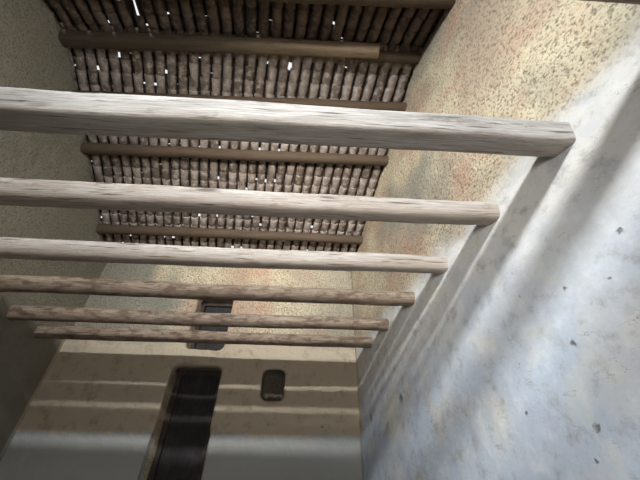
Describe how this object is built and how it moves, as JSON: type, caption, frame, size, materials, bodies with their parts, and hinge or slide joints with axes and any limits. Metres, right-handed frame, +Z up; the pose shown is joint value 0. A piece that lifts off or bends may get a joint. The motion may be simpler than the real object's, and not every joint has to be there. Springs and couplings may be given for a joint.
{
  "type": "adobe house",
  "caption": "One-room adobe house with log joists under an open loft, a niche, a back door and a gabled roof of half-round clay tiles on round purlins.",
  "frame": {"origin": "middle of the plan on the ground, below the middle of the ridge", "axes": "+X along the joists to the right of someone who walks in, +Y from the front wall to the back wall, +Z up"},
  "size_m": [5.2498, 6.1, 4.716],
  "materials": {
    "rubble_stone": "rough stone in mud mortar",
    "earth_floor": "beaten earth",
    "step_stone": "hewn stone",
    "mud_plaster": "adobe under mud plaster and limewash",
    "sawn_timber": "weathered sawn timber",
    "joist_logs": "barked logs, weathered grey",
    "purlin_logs": "round timber, weathered brown",
    "roof_tiles": "old fired clay",
    "dark_timber": "smoke-dark timber",
    "dark_planks": "smoke-dark planks"
  },
  "bodies": {
    "house": {"footing_left": "rubble_stone", "footing_right": "rubble_stone", "footing_front": "rubble_stone", "footing_back": "rubble_stone", "floor": "earth_floor", "step_front": "step_stone", "step_back": "step_stone", "wall_left": "mud_plaster", "wall_right": "mud_plaster", "wall_back_left": "mud_plaster", "wall_back_right": "mud_plaster", "wall_back_mid": "mud_plaster", "wall_back_upper_left": "mud_plaster", "wall_back_upper_right": "mud_plaster", "wall_back_top": "mud_plaster", "wall_front_left": "mud_plaster", "wall_front_right": "mud_plaster", "wall_front_over": "mud_plaster", "lintel_front": "sawn_timber", "lintel_back": "sawn_timber", "lintel_loft": "sawn_timber", "joists_front": "joist_logs", "joists_middle": "joist_logs", "joists_back": "joist_logs", "purlin_ridge": "purlin_logs", "purlins_front": "purlin_logs", "purlins_back": "purlin_logs", "plate_front": "sawn_timber", "plate_back": "sawn_timber", "posts": "sawn_timber", "roof_front": "roof_tiles", "roof_back": "roof_tiles", "ridge_tiles": "roof_tiles", "frame_back": "dark_timber", "frame_loft": "dark_timber", "shutter_loft": "dark_planks"},
    "door": {"door_leaf": "dark_planks"}
  },
  "joints": [
    {"name": "door_hinge", "type": "hinge", "parent": "house", "child": "door", "pos_m": [-0.64003, 2.432, 1.3], "axis": [0, 0, 1], "range_deg": [0, 90]}
  ]
}
